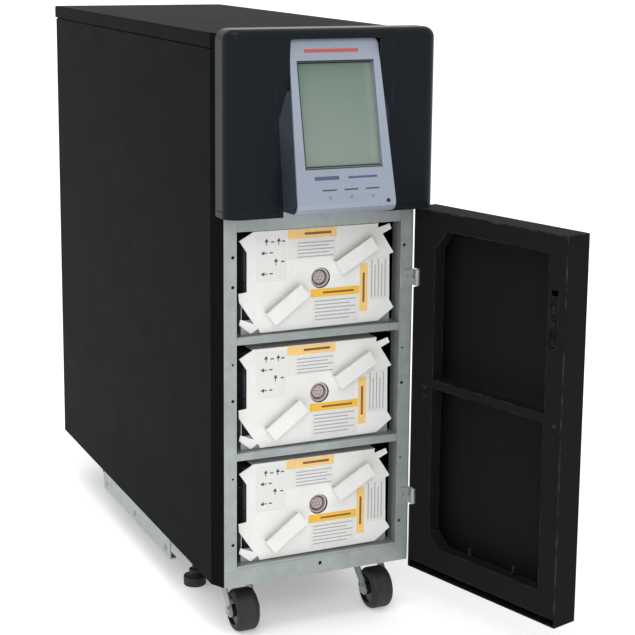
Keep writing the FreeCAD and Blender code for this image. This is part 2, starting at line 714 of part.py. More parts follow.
def hinge_moving(z):
    """Door half of one hinge, drawn on the closed door: a leaf inside the edge, a knuckle and the pin."""
    low = z + 11.3
    inside = door_x(DOOR_NEAR) - 1.5
    leaf = box(inside - 2, inside, HINGE_Y - 30, HINGE_Y, low, z + HINGE_TALL)
    knuckle = rod(HINGE_X, HINGE_Y, low, 4, z + HINGE_TALL - low)
    pin = rod(HINGE_X, HINGE_Y, z - 0.5, PIN_R, HINGE_TALL + 0.5)
    return join([leaf, knuckle, pin])


# ---------------------------------------------------------------- running gear


def wheel(x, y):
    """Rubber-tyred wheel with a moulded hub. It turns about X."""
    z = AXLE_Z
    tyre = rod(x - WHEEL_HALF, y, z, WHEEL_R, 2 * WHEEL_HALF, V(1, 0, 0))
    tyre = tyre.makeFillet(8, [e for e in tyre.Edges if e.Length > 100])
    dishes = [rod(x + s * (WHEEL_HALF - 1) - 2, y, z, 20.5, 4, V(1, 0, 0)) for s in (-1, 1)]
    bore = rod(x - 20, y, z, AXLE_R + RUNNING, 40, V(1, 0, 0))
    boss = rod(x - WHEEL_HALF - 0.5, y, z, 9, 2 * WHEEL_HALF + 1, V(1, 0, 0))
    return tyre.cut(dishes).fuse(boss).cut(bore).removeSplitter()


def axle_and_nuts(x, y):
    """Axle across the fork with a washer and a nut outside each leg."""
    out = [rod(x - WHEEL_HALF - 7.5, y, AXLE_Z, AXLE_R, 2 * WHEEL_HALF + 15, V(1, 0, 0))]
    for s in (-1, 1):
        leg = s * (WHEEL_HALF + 3.5)
        out.append(rod(x + leg, y, AXLE_Z, 8.0, 1.2, V(s, 0, 0)))
        out.append(rod(x + leg, y, AXLE_Z, 5.8, 4.0, V(s, 0, 0)))
    return out


def fork_leg(y, top_points, x0, x1):
    """A pressed leg that narrows to a round end about the axle."""
    r = 9.0
    turns = [math.pi * (1 + n / 8) for n in range(9)]
    end = [(y + r * math.cos(t), AXLE_Z + r * math.sin(t)) for t in turns]
    return side_prism(top_points[:-1] + end + top_points[-1:], min(x0, x1), max(x0, x1))


def fork(x, y, swivel_y, top):
    """Pressed fork with its axle. The swivel head stands over the trailing point."""
    legs = []
    for s in (-1, 1):
        x0 = x + s * (WHEEL_HALF + 1.5)
        points = [(swivel_y + 15, top - 12), (swivel_y - 6, top - 12), (swivel_y + 15, top - 20)]
        legs.append(fork_leg(y, points, x0, x0 + s * 2.0))
    bridge = box(x - WHEEL_HALF - 3.5, x + WHEEL_HALF + 3.5, swivel_y - 6, swivel_y + 15, top - 12, top - 10)
    head = rod(x, swivel_y, top - 10, 17, 4.5)
    king = rod(x, swivel_y, top - 6, KING_R, 5.5)
    return join(legs + [bridge, head, king] + axle_and_nuts(x, y))


def caster_plate(x, y):
    """Fixed top plate with the swivel race, screwed to the base."""
    plate = box(x - 24, x + 24, y - 22, y + 22, BASE_Z - 3, BASE_Z)
    race = rod(x, y, BASE_Z - 5.2, 19, 2.2)
    bolts = [rod(x + a * 20, y + b * 18, BASE_Z - 5, 3.0, 2) for a in (-1, 1) for b in (-1, 1)]
    return cut(join([plate, race] + bolts), [rod(x, y, BASE_Z - 6, KING_R + RUNNING, 8)])


def rigid_caster(x, y):
    """Rear fork without a swivel."""
    body = [box(x - 24, x + 24, y - 22, y + 22, BASE_Z - 3, BASE_Z)]
    for s in (-1, 1):
        x0 = x + s * (WHEEL_HALF + 1.5)
        points = [(y + 18, BASE_Z - 3), (y - 18, BASE_Z - 3), (y + 18, BASE_Z - 4)]
        body.append(fork_leg(y, points, x0, x0 + s * 2.0))
    return join(body + axle_and_nuts(x, y))


def underframe():
    """Left channel below the base pan. Its front end holds the levelling foot's nut."""
    x0, x1 = -140.0, -94.0
    y0, y1 = -240.0, 170.0
    z0 = BASE_Z - 14
    plate = box(x0, x1, y0, y1, z0, z0 + 2)
    walls = [box(x0, x0 + 2, y0, y1, z0, BASE_Z), box(x1 - 2, x1, y0, y1, z0, BASE_Z)]
    ends = [box(x0, x1, y0, y0 + 2, z0, BASE_Z)]
    nut = rod(-FOOT[0], FOOT[1], z0 + 2, 11, 8)
    body = join([plate] + walls + ends + [nut])
    return cut(body, [rod(-FOOT[0], FOOT[1], z0 - 1, STUD_R + RUNNING, 14)])


def side_bracket():
    """Galvanised skirt rail below the left side panel."""
    y0, y1 = BRACKET_Y
    t = 2.0
    skirt = box(-HALF, -HALF + t, y0, y1, BRACKET_LOW, BASE_Z)
    shelf_part = box(-HALF, -140.0, y0, y1, BASE_Z - t, BASE_Z)
    turn = box(-HALF, -HALF + 10, y0, y1, BRACKET_LOW, BRACKET_LOW + t)
    body = join([skirt, shelf_part, turn])

    def fold(e):
        c = e.BoundBox.Center
        return abs(c.x + HALF) < 1e-3 and abs(c.z - BRACKET_LOW) < 1e-3 and e.Length > 50

    body = round_edges(body, 1.2, fold)
    holes = [rod(-HALF - 1, y, BRACKET_SCREW_Z, 2.2, 5, V(1, 0, 0)) for y in BRACKET_SCREW_YS]
    return cut(body, holes)


def levelling_foot(x):
    """Round pad on a threaded stud."""
    y = FOOT[1]
    pad = rod(x, y, FLOOR_Z, 17, 14)
    pad = round_edges(pad, 1.5, lambda e: e.Length > 90)
    neck = Part.makeCone(13, 8, 4, V(x, y, FLOOR_Z + 14))
    nut = rod(x, y, FLOOR_Z + 18, 8.5, 6)
    stud = rod(x, y, FLOOR_Z + 20, STUD_R, 58)
    return join([pad, neck, nut, stud])


# ---------------------------------------------------------------- battery module


def module_tray(top):
    """Steel tray that slides on the bay floor."""
    y0 = FRONT + 12
    y1 = FRONT + 486
    z0 = top + 0.4
    floor = box(-112, 112, y0, y1, z0, z0 + 1.5)
    sides = [box(-112, -110.6, y0, y1, z0, z0 + 46), box(110.6, 112, y0, y1, z0, z0 + 46)]
    back = box(-112, 112, y1 - SHEET, y1, z0, z0 + 60)
    front = box(-112, 112, y0, y0 + 1.5, z0, z0 + 20)
    window = box(-24, 24, y1 - 3, y1 + 1, z0 + 22, z0 + 48)
    return cut(join([floor, back, front] + sides), [window])


def pull_strap(cx, cz, slope):
    """Folded channel strap that stands off the face on two legs."""
    y = MODULE_FRONT - STRAP_OUT
    half, tall = STRAP_HALF
    pieces = [box(cx - half, cx + half, y, y + CARD, cz - tall, cz + tall)]
    for z in (cz - tall, cz + tall - CARD):
        pieces.append(box(cx - half, cx + half, y, y + 4, z, z + CARD))
    for x in (cx - half, cx + half - CARD):
        pieces.append(box(x, x + CARD, y, MODULE_FRONT, cz - tall, cz + tall))
    return join(pieces).rotate(V(cx, 0, cz), V(0, 1, 0), -slope)


def module_wrap(top):
    """White folded wrap: the front face with its cut edges, the top return and two pull straps."""
    y0 = MODULE_FRONT
    high = top + MODULE_HIGH
    face = front_prism([(x, top + z) for x, z in MODULE_OUTLINE], y0, y0 + CARD)
    roof = box(-96, 92, y0, y0 + 120, high - CARD, high)
    body = cut(join([face, roof]), [rod(SOCKET[0], y0 - 1, top + SOCKET[1], SOCKET[2], 4, V(0, 1, 0))])
    return Part.makeCompound([body] + [pull_strap(x, top + z, slope) for x, z, slope in STRAPS])


def battery_blocks(top):
    """Twelve sealed blocks: two across, two high and three deep, each with two flat terminals."""
    out = []
    bx, by, bz = BLOCK
    for row in range(3):
        y0 = BLOCK_START + row * (by + 2)
        for s in (-1, 1):
            for level in range(2):
                x0 = 2.0 if s > 0 else -2.0 - bx
                z0 = top + 2.6 + level * (bz + 1.0)
                block = box(x0, x0 + bx, y0, y0 + by, z0, z0 + bz)
                block = round_edges(block, 2.0, lambda e: e.Length > 50)
                out.append(block)
                tx = x0 + bx if s > 0 else x0 - 5.0
                for ty in (y0 + 10, y0 + by - 16):
                    out.append(box(tx, tx + 5.0, ty, ty + 6, z0 + bz / 2 - 0.4, z0 + bz / 2 + 0.4))
    return Part.makeCompound(out)


def module_connector(top):
    """Round socket behind the face's hole, its lead channel over the blocks and the plug at the back."""
    x, z = SOCKET[0], top + SOCKET[1]
    y = MODULE_FRONT
    ring = rod(x, y + 3, z, 13.6, 14, V(0, 1, 0)).cut(rod(x, y + 2, z, 11.4, 12, V(0, 1, 0)))
    core = rod(x, y + 6, z, 8.6, 11, V(0, 1, 0))
    turns = [a * math.pi / 3 for a in range(6)]
    pins = [rod(x + 5.4 * math.cos(t), y + 3.5, z + 5.4 * math.sin(t), 1.5, 4, V(0, 1, 0)) for t in turns]
    pins.append(rod(x, y + 3.5, z, 1.5, 4, V(0, 1, 0)))
    front = join([ring, core] + pins)
    lead = box(-1.4, 1.4, y + 16, FRONT + 484.5, z - 8, z - 2)
    plug_y = FRONT + 484.5
    plug = box(-20, 20, plug_y, FRONT + 499.5, top + 26, top + 44)
    riser = box(-1.4, 1.4, plug_y - 4, plug_y, top + 27, z - 2)
    return join([front, lead, riser, plug])


def bay_receptacle(top):
    """Blind-mating socket on the bay's rear stop."""
    y1 = FRONT + BAY_DEPTH
    body = box(-21.8, 21.8, FRONT + 500.0, y1 + 8, top + 26.2, top + 45.8)
    flange = box(-32, 32, y1, y1 + 3, top + 22, top + 50)
    return join([body, flange])


# ---------------------------------------------------------------- power electronics


def heatsinks():
    out = []
    for x0, x1 in ((-132.0, -28.0), (28.0, 132.0)):
        z = DECK_Z + SHEET
        base = box(x0, x1, -60, 200, z, z + 8)
        fins = [box(x, x + 2, -60, 200, z + 8, z + 52) for x in range(int(x0), int(x1) - 1, 8)]
        out.append(join([base] + fins))
    return Part.makeCompound(out)


def power_board():
    """Main board on standoffs over the heatsinks."""
    board = box(-138, 138, -300, 300, 640, 642)
    low = DECK_Z + SHEET
    posts = [rod(x, y, low, 4, 640 - low) for x in (-132, -20, 20, 132) for y in (-285, 270)]
    chips = [box(x, x + 28, -250, -222, 642, 645) for x in (-110, -60, -10)]
    modules = [box(x, x + 60, 120, 180, 642, 654) for x in (-120, -40, 40)]
    relays = [box(x, x + 30, 240, 268, 642, 672) for x in (-120, -80, -40)]
    return join([board] + posts + chips + modules + relays)


def capacitors():
    out = []
    for x in (-105, -63, -21, 21, 63, 105):
        can = rod(x, -10, 642, 17.5, 62)
        out.append(round_edges(can, 2, lambda e: e.BoundBox.ZMin > 703))
        out.append(round_edges(rod(x, -55, 642, 17.5, 62), 2, lambda e: e.BoundBox.ZMin > 703))
    return out


def magnetics():
    """Filter chokes on the base behind the bays, and a toroid on the main board."""
    out = []
    for x in (-70, 70):
        core = box(x - 42, x + 42, 200, 276, BASE_Z + 2, BASE_Z + 90)
        windows = [box(a, a + 16, 190, 290, BASE_Z + 20, BASE_Z + 72) for a in (x - 24, x + 8)]
        core = core.cut(windows)
        coil = box(x - 22, x + 22, 188, 288, BASE_Z + 22, BASE_Z + 70)
        coil = coil.cut(box(x - 8, x + 8, 199, 277, BASE_Z + 2, BASE_Z + 90))
        coil = coil.cut(core)
        out += [core, coil]
    toroid = Part.makeTorus(28, 12, V(-60, -150, 655), V(0, 0, 1))
    out.append(toroid)
    out.append(Part.makeTorus(28, 12, V(60, -150, 655), V(0, 0, 1)))
    return Part.makeCompound(out)


# ---------------------------------------------------------------- rear fittings


def breaker_body():
    z = MAINS_Z
    body = box(-129.5, -76.5, BACK - 70, BACK - 1, z - 38, z + 38)
    notch = box(-112, -94, BACK - 16, BACK + 1, z - 20, z + 20)
    pivot = rod(-112.5, BACK - 8, z, 2.0, 19, V(1, 0, 0))
    flange = box(-133, -73, BACK - 5, BACK - 2, z - 43, z + 43)
    body = body.fuse(flange).cut(notch)
    return body.fuse(pivot).removeSplitter()


def breaker_lever():
    """Rocking handle on a pin across the breaker's notch."""
    z = MAINS_Z
    hub = rod(-111, BACK - 8, z, 5.5, 16, V(1, 0, 0))
    y = BACK - 8
    stick = side_prism([(y, z - 4), (y + 20, z + 6), (y + 20, z + 12), (y, z + 4)], -109, -97)
    bore = rod(-113, BACK - 8, z, 2.0 + RUNNING, 20, V(1, 0, 0))
    return join([hub, stick]).cut(bore)


def outlet_block():
    """Four outlets in one moulded block, each a core inside a narrow moat with three pin slots."""
    z = MAINS_Z
    body = box(-39.5, 129.5, BACK - 45, BACK - 1, z - 39, z + 39)
    flange = box(-43, 133, BACK - 5, BACK - 2, z - 43, z + 43)
    body = join([body, flange])
    tools = []
    for n in range(4):
        x = -34 + n * 42
        pocket = box(x, x + 35, BACK - 20, BACK, z - 14, z + 14)
        core = box(x + 2.5, x + 32.5, BACK - 20, BACK - 1.5, z - 11.5, z + 11.5)
        slots = [box(x + 9 + k * 6.5, x + 11 + k * 6.5, BACK - 16, BACK, z - 4, z + 3) for k in range(3)]
        tools.append(pocket.cut(core))
        tools += slots
    return cut(body, tools)


def terminal_cover():
    """Raised plate over the hard-wired terminals, with two cable glands below it."""
    plate = box(-110, 20, BACK - 5, BACK - 3.5, GLAND_Z - 40, GLAND_Z + 40)
    bulge = box(-100, 10, BACK - 3.5, BACK + 2, GLAND_Z - 32, GLAND_Z + 32)
    bulge = round_edges(bulge, 2, lambda e: e.BoundBox.YMin > BACK + 1.9)
    glands = []
    for x in (60, 100):
        nut = rod(x, BACK - 5, GLAND_Z, 17, 6, V(0, 1, 0))
        body = rod(x, BACK - 14, GLAND_Z, 13.6, 22, V(0, 1, 0))
        glands.append(join([nut, body]).cut(rod(x, BACK - 15, GLAND_Z, 8, 30, V(0, 1, 0))))
    return Part.makeCompound([join([plate, bulge])] + glands)


def cabinet_screws():
    out = []
    for s in (-1, 1):
        out += [screw(s * HALF, y, BRACKET_SCREW_Z, (-s, 0, 0), 4.4, 2.2, 1.9, 6.0) for y in BRACKET_SCREW_YS]
    for z in HINGE_ZS:
        out += [screw(x, FRONT - 2, z + HINGE_TALL / 2, (0, 1, 0), 2.6, 1.2, 1.6, 3.0) for x in (131, 139)]
    return Part.makeCompound(out)


def post_with_hinge_holes():
    right = mirror_x(front_post())
    tools = [rod(x, FRONT - 1, z + HINGE_TALL / 2, 1.9, 4, V(0, 1, 0)) for z in HINGE_ZS for x in (131, 139)]
    return cut(right, tools)


# ---------------------------------------------------------------- export

left_panel = side_panel()
export(left_panel, "side_panel_left")
export(mirror_x(left_panel), "side_panel_right")
export(base_pan(), "base_pan")
export(front_rail(), "front_rail")
export(Part.makeCompound([front_post(), post_with_hinge_holes()]), "front_posts")
export(bay_uprights(), "bay_uprights")
for name, top in zip(("lower", "middle", "upper"), SHELF_TOPS):
    export(module_tray(top), "module_tray_" + name)
    export(module_wrap(top), "module_wrap_" + name)
    export(battery_blocks(top), "battery_blocks_" + name)
    export(module_connector(top), "module_connector_" + name)
export(Part.makeCompound([shelf(top) for top in SHELF_TOPS]), "bay_shelves")
export(Part.makeCompound([bay_receptacle(top) for top in SHELF_TOPS]), "bay_receptacles")
export(electronics_deck(), "electronics_deck")
export(top_cover(), "top_cover")
export(rear_panel(), "rear_panel")
centre, wing = bezel_centre_and_wings()
export(centre, "bezel_centre")
export(both(wing), "bezel_wings")
export(display_housing(), "display_housing")
export(display_face(), "display_face")
export(display_window(), "display_window")
export(Part.makeCompound([lcd_module(), control_board()]), "display_electronics")
export(led_lenses(), "led_lenses")
export(console_button(), "console_button")
export(heatsinks(), "heatsinks")
export(Part.makeCompound([power_board()] + capacitors()), "power_board")
export(magnetics(), "magnetics")
export(Part.makeCompound([fan_frame(x) for x in FAN_XS]), "fan_frames")
export(fan_rotor(FAN_XS[0]), "fan_rotor_left")
export(fan_rotor(FAN_XS[1]), "fan_rotor_right")
export(breaker_body(), "breaker_body")
export(breaker_lever(), "breaker_lever")
export(outlet_block(), "outlet_block")
export(terminal_cover(), "terminal_cover")
export(both(side_bracket()), "side_brackets")
export(both(underframe()), "underframe")
export(Part.makeCompound([hinge_fixed(z) for z in HINGE_ZS]), "hinge_leaves_fixed")
export(cabinet_screws(), "cabinet_screws")
export(swing(door_skin()), "door_skin")
export(swing(door_inner_frame()), "door_inner_frame")
export(swing(Part.makeCompound([hinge_moving(z) for z in HINGE_ZS])), "door_hinge_leaves")
export(swing(door_fasteners()), "door_fasteners")
export(swing(door_latch()), "door_latch")
fx, fy = FRONT_WHEEL
rx, ry = REAR_WHEEL
export(both(caster_plate(-fx, FRONT_SWIVEL_Y)), "caster_plates")
export(both(rigid_caster(-rx, ry)), "rear_caster_forks")
for name, s in (("left", -1), ("right", 1)):
    export(fork(s * fx, fy, FRONT_SWIVEL_Y, BASE_Z - 0.0), "caster_fork_" + name)
    export(wheel(s * fx, fy), "front_wheel_" + name)
    export(wheel(s * rx, ry), "rear_wheel_" + name)
    export(levelling_foot(s * FOOT[0]), "levelling_foot_" + name)
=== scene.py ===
import json
import math
import bmesh
import bpy
from mathutils import Matrix, Vector


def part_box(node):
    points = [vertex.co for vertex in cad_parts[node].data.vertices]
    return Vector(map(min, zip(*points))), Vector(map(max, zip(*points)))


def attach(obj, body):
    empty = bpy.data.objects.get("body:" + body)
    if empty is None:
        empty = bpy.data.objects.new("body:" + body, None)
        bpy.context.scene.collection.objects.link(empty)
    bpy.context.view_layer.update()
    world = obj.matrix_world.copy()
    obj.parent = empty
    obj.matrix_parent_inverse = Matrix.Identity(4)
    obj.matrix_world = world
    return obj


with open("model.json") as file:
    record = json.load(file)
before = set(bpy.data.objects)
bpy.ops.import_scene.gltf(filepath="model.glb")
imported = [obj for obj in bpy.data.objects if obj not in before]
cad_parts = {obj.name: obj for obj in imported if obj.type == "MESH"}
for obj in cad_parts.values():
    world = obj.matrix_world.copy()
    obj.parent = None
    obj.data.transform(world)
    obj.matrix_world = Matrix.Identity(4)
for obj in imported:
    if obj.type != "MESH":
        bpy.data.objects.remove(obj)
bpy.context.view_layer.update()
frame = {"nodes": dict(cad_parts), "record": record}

NODES = frame["nodes"]
ORIGIN = (-0.05251, 0.12204, 0.010)  # the middle of the cabinet at floor height, in the row frame


def at(x, y, z):
    """A point given in millimetres about the cabinet's middle."""
    return (x / 1000 + ORIGIN[0], y / 1000 + ORIGIN[1], z / 1000 + ORIGIN[2])


# ---------------------------------------------------------------- camera and studio


def make_camera():
    data = bpy.data.cameras.new("camera")
    cam = bpy.data.objects.new("camera", data)
    bpy.context.scene.collection.objects.link(cam)
    yaw, pitch, roll = math.radians(-23.905), math.radians(-10.793), math.radians(0.524)
    forward = Vector((-math.sin(yaw) * math.cos(pitch), math.cos(yaw) * math.cos(pitch), math.sin(pitch)))
    right = forward.cross(Vector((0, 0, 1))).normalized()
    up = right.cross(forward)
    r = right * math.cos(roll) + up * math.sin(roll)
    u = up * math.cos(roll) - right * math.sin(roll)
    cam.matrix_world = Matrix(
        (
            (r.x, u.x, -forward.x, -0.93939),
            (r.y, u.y, -forward.y, -2.25841),
            (r.z, u.z, -forward.z, 0.97153),
            (0, 0, 0, 1),
        )
    )
    data.sensor_width = 36
    data.lens = 92.17
    data.shift_y = -0.1205
    data.clip_end = 200
    bpy.context.scene.camera = cam
    return cam


def area_light(name, place, aim, size, power, colour=(1, 1, 1), size_y=None):
    data = bpy.data.lights.new(name, "AREA")
    data.shape = "RECTANGLE"
    data.size = size
    data.size_y = size_y or size
    data.energy = power
    data.color = colour
    lamp = bpy.data.objects.new(name, data)
    bpy.context.scene.collection.objects.link(lamp)
    lamp.location = place
    lamp.rotation_mode = "QUATERNION"
    lamp.rotation_quaternion = (Vector(aim) - Vector(place)).to_track_quat("-Z", "Y")
    return lamp


def make_studio():
    world = bpy.data.worlds.new("studio")
    bpy.context.scene.world = world
    world.use_nodes = True
    world.node_tree.nodes["Background"].inputs["Color"].default_value = (1, 1, 1, 1)
    world.node_tree.nodes["Background"].inputs["Strength"].default_value = 0.98
    bpy.context.scene.view_settings.view_transform = "Standard"
    area_light("key_light", (-1.5, -3.2, 2.6), (0, -0.3, 0.5), 1.2, 22)
    area_light("top_light", (-0.6, -0.6, 3.4), (0, 0, 0.4), 1.6, 26)
    bm = bmesh.new()
    bmesh.ops.create_grid(bm, x_segments=8, y_segments=8, size=60)
    mesh = bpy.data.meshes.new("floor")
    bm.to_mesh(mesh)
    bm.free()
    floor = bpy.data.objects.new("floor", mesh)
    bpy.context.scene.collection.objects.link(floor)
    mesh.materials.append(floor_material())


# ---------------------------------------------------------------- materials


class Net:
    """A small helper that adds shader nodes and joins their sockets."""

    def __init__(self, name):
        self.material = bpy.data.materials.new(name)
        self.material.use_nodes = True
        self.tree = self.material.node_tree
        self.tree.nodes.clear()
        self.out = self.tree.nodes.new("ShaderNodeOutputMaterial")
        self.shader = self.tree.nodes.new("ShaderNodeBsdfPrincipled")
        self.join(self.shader.outputs[0], self.out.inputs[0])
        self.place = self.tree.nodes.new("ShaderNodeTexCoord").outputs["Object"]

    def join(self, a, b):
        self.tree.links.new(a, b)

    def feed(self, socket, value):
        if isinstance(value, bpy.types.NodeSocket):
            self.join(value, socket)
        else:
            socket.default_value = value

    def noise(self, scale, detail=4.0, rough=0.5, vector=None, out="Fac"):
        n = self.tree.nodes.new("ShaderNodeTexNoise")
        n.inputs["Scale"].default_value = scale
        n.inputs["Detail"].default_value = detail
        n.inputs["Roughness"].default_value = rough
        self.join(vector or self.place, n.inputs["Vector"])
        return n.outputs[out]

    def cells(self, scale, vector=None, out="Color"):
        n = self.tree.nodes.new("ShaderNodeTexVoronoi")
        n.inputs["Scale"].default_value = scale
        self.join(vector or self.place, n.inputs["Vector"])
        return n.outputs[out]

    def stretch(self, scale, turn=(0, 0, 0), move=(0, 0, 0)):
        n = self.tree.nodes.new("ShaderNodeMapping")
        n.inputs["Scale"].default_value = scale
        n.inputs["Rotation"].default_value = turn
        n.inputs["Location"].default_value = move
        self.join(self.place, n.inputs["Vector"])
        return n.outputs[0]

    def split(self, vector=None):
        n = self.tree.nodes.new("ShaderNodeSeparateXYZ")
        self.join(vector or self.place, n.inputs[0])
        return n.outputs

    def sum(self, kind, a, b=0.0, c=0.0, clamp=False):
        n = self.tree.nodes.new("ShaderNodeMath")
        n.operation = kind
        n.use_clamp = clamp
        for socket, value in zip(n.inputs, (a, b, c)):
            self.feed(socket, value)
        return n.outputs[0]

    def span(self, value, low, high, to_low=0.0, to_high=1.0):
        n = self.tree.nodes.new("ShaderNodeMapRange")
        n.inputs["From Min"].default_value = low
        n.inputs["From Max"].default_value = high
        n.inputs["To Min"].default_value = to_low
        n.inputs["To Max"].default_value = to_high
        self.join(value, n.inputs["Value"])
        return n.outputs[0]

    def blend(self, share, a, b, kind="MIX"):
        n = self.tree.nodes.new("ShaderNodeMix")
        n.data_type = "RGBA"
        n.blend_type = kind
        self.feed(n.inputs[0], share)
        for socket, value in ((n.inputs[6], a), (n.inputs[7], b)):
            if isinstance(value, tuple) and len(value) == 3:
                value = (*value, 1.0)
            self.feed(socket, value)
        return n.outputs[2]

    def edge(self, radius):
        """0 on flat faces and up to 1 on sharp edges."""
        bevel = self.tree.nodes.new("ShaderNodeBevel")
        bevel.samples = 4
        bevel.inputs["Radius"].default_value = radius
        flat = self.tree.nodes.new("ShaderNodeNewGeometry").outputs["Normal"]
        dot = self.tree.nodes.new("ShaderNodeVectorMath")
        dot.operation = "DOT_PRODUCT"
        self.join(bevel.outputs[0], dot.inputs[0])
        self.join(flat, dot.inputs[1])
        return self.span(dot.outputs["Value"], 0.995, 0.86)

    def bump(self, height, strength, distance, below=None):
        n = self.tree.nodes.new("ShaderNodeBump")
        n.inputs["Strength"].default_value = strength
        n.inputs["Distance"].default_value = distance
        self.join(height, n.inputs["Height"])
        if below is not None:
            self.join(below, n.inputs["Normal"])
        return n.outputs[0]

    def set(self, **values):
        names = {
            "base": "Base Color",
            "rough": "Roughness",
            "metal": "Metallic",
            "normal": "Normal",
            "spec": "Specular IOR Level",
            "coat": "Coat Weight",
            "coat_rough": "Coat Roughness",
            "ior": "IOR",
            "transmission": "Transmission Weight",
            "sheen": "Sheen Weight",
        }
        for key, value in values.items():
            if isinstance(value, tuple) and len(value) == 3:
                value = (*value, 1.0)
            self.feed(self.shader.inputs[names[key]], value)
        return self.material


def dim(colour, k):
    return tuple(min(1.0, c * k) for c in colour)


def coated(
    name,
    colour,
    rough,
    spec,
    grain=650.0,
    grain_depth=0.00012,
    vary=0.1,
    edge_wear_and_highlight_colour=(0.09, 0.09, 0.092),
    edge_wear_and_highlight_amount=0.5,
    ior=1.45,
):
    """Powder-coated or moulded surface: mottled colour, orange-peel grain and paler edges, which are wear on
    some materials and painted highlight on others.
    """
    n = Net(name)
    cloud = n.noise(5.0, 6.0, 0.6)
    fine = n.noise(grain, 3.0, 0.55)
    smear = n.noise(18.0, 5.0, 0.6)
    tone = n.blend(n.span(cloud, 0.3, 0.7), dim(colour, 1 - vary), dim(colour, 1 + vary))
    tone = n.blend(n.span(fine, 0.35, 0.75, 0.0, 0.35), tone, dim(colour, 1.7))
    patchy = n.span(n.noise(60.0, 4.0), 0.42, 0.62)
    # Paler edge colour over the edge mask: wear, and on the bezel, the door and the display housing also a
    # painted highlight.
    mask = n.sum("MULTIPLY", n.sum("MULTIPLY", n.edge(0.0012), patchy), edge_wear_and_highlight_amount)
    tone = n.blend(mask, tone, edge_wear_and_highlight_colour)
    r = n.span(smear, 0.25, 0.75, rough - 0.02, rough + 0.04)
    r = n.sum("ADD", r, n.span(fine, 0.3, 0.7, -0.03, 0.03), clamp=True)
    normal = n.bump(fine, 0.35, grain_depth, n.bump(n.noise(14.0, 2.0), 0.15, 0.0008))
    return n.set(base=tone, rough=r, normal=normal, spec=spec, ior=ior)


def galvanised(name, colour, rough=0.4, metal=0.75, spangle=95.0):
    """Zinc-coated sheet with a faint crystal spangle, rubbed marks and dull patches."""
    n = Net(name)
    crystals = n.cells(spangle)
    shade = n.split(crystals)[0]
    cloud = n.noise(9.0, 6.0, 0.6)
    scuff = n.noise(160.0, 4.0, 0.7, n.stretch((1.0, 1.0, 0.08)))
    tone = n.blend(n.span(shade, 0.0, 1.0, 0.0, 1.0), dim(colour, 0.93), dim(colour, 1.06))
    tone = n.blend(n.span(cloud, 0.35, 0.7, 0.0, 0.5), tone, dim(colour, 0.72))
    tone = n.blend(n.sum("MULTIPLY", n.edge(0.0009), 0.55), tone, dim(colour, 1.35))
    dull = n.span(cloud, 0.3, 0.7, rough - 0.07, rough + 0.1)
    r = n.sum("ADD", dull, n.span(scuff, 0.4, 0.7, 0.0, 0.09), clamp=True)
    normal = n.bump(scuff, 0.12, 0.0002, n.bump(shade, 0.06, 0.0002))
    return n.set(base=tone, rough=r, normal=normal, metal=metal)


def brushed(name, colour, rough=0.32, along=(1.0, 0.03, 1.0)):
    n = Net(name)
    hair = n.noise(900.0, 3.0, 0.6, n.stretch(along))
    cloud = n.noise(12.0, 5.0)
    tone = n.blend(n.span(hair, 0.3, 0.7), dim(colour, 0.82), dim(colour, 1.1))
    tone = n.blend(n.span(cloud, 0.45, 0.7, 0.0, 0.3), tone, dim(colour, 0.7))
    r = n.span(hair, 0.3, 0.7, rough - 0.06, rough + 0.1)
    return n.set(base=tone, rough=r, metal=0.95, normal=n.bump(hair, 0.12, 0.0001))


def silver_paint(name):
    """Metallic silver-blue paint on plastic: fine flakes, a soft sheen and slightly rubbed edges."""
    colour = (0.255, 0.29, 0.355)
    n = Net(name)
    flake = n.split(n.cells(2600.0))[0]
    cloud = n.noise(11.0, 4.0)
    tone = n.blend(n.span(cloud, 0.3, 0.7), dim(colour, 0.95), dim(colour, 1.05))
    tone = n.blend(n.span(flake, 0.55, 1.0, 0.0, 0.55), tone, dim(colour, 1.45))
    tone = n.blend(n.sum("MULTIPLY", n.edge(0.0008), 0.4), tone, dim(colour, 1.5))
    r = n.sum("ADD", n.span(cloud, 0.3, 0.7, 0.33, 0.4), n.span(flake, 0, 1, -0.03, 0.05))
    return n.set(base=tone, rough=r, metal=0.35, normal=n.bump(flake, 0.05, 0.00006), coat=0.25, coat_rough=0.2)


def screen_material(name):
    """Unlit liquid-crystal glass: grey-green, a little warmer and paler towards the foot."""
    low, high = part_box("display_window")
    n = Net(name)
    z = n.span(n.split()[2], low.z, high.z)
    x = n.span(n.split()[0], low.x, high.x)
    tone = n.blend(z, (0.19, 0.243, 0.2), (0.105, 0.168, 0.132))
    tone = n.blend(n.span(n.noise(9.0, 2.0), 0.35, 0.7, 0.0, 0.35), tone, (0.2, 0.23, 0.2))
    # Painted highlight: a paler band along the right edge of the glass, standing in for the lit right wall of
    # the recess.
    tone = n.blend(n.span(x, 0.86, 1.0, 0.0, 0.35), tone, (0.36, 0.37, 0.3))
    rows = n.cells(1500.0, out="Distance")
    r = n.span(n.noise(40.0, 4.0), 0.3, 0.7, 0.12, 0.24)
    return n.set(base=tone, rough=r, coat=0.2, coat_rough=0.08, spec=0.2, normal=n.bump(rows, 0.02, 0.00002))


def white_plastic(name, colour=(0.78, 0.785, 0.76)):
    """White moulded sheet with slight yellowing, handling marks and soft surface waviness."""
    n = Net(name)
    cloud = n.noise(14.0, 5.0, 0.6)
    tone = n.blend(n.span(cloud, 0.35, 0.7), colour, dim(colour, 0.93))
    grime = n.span(n.noise(55.0, 6.0, 0.7), 0.56, 0.72, 0.0, 0.16)
    tone = n.blend(grime, tone, (0.5, 0.48, 0.42))
    r = n.span(n.noise(30.0, 5.0), 0.3, 0.7, 0.34, 0.5)
    normal = n.bump(n.noise(700.0, 2.0), 0.12, 0.00008, n.bump(n.noise(26.0, 2.0), 0.2, 0.0006))
    return n.set(base=tone, rough=r, normal=normal, spec=0.45)


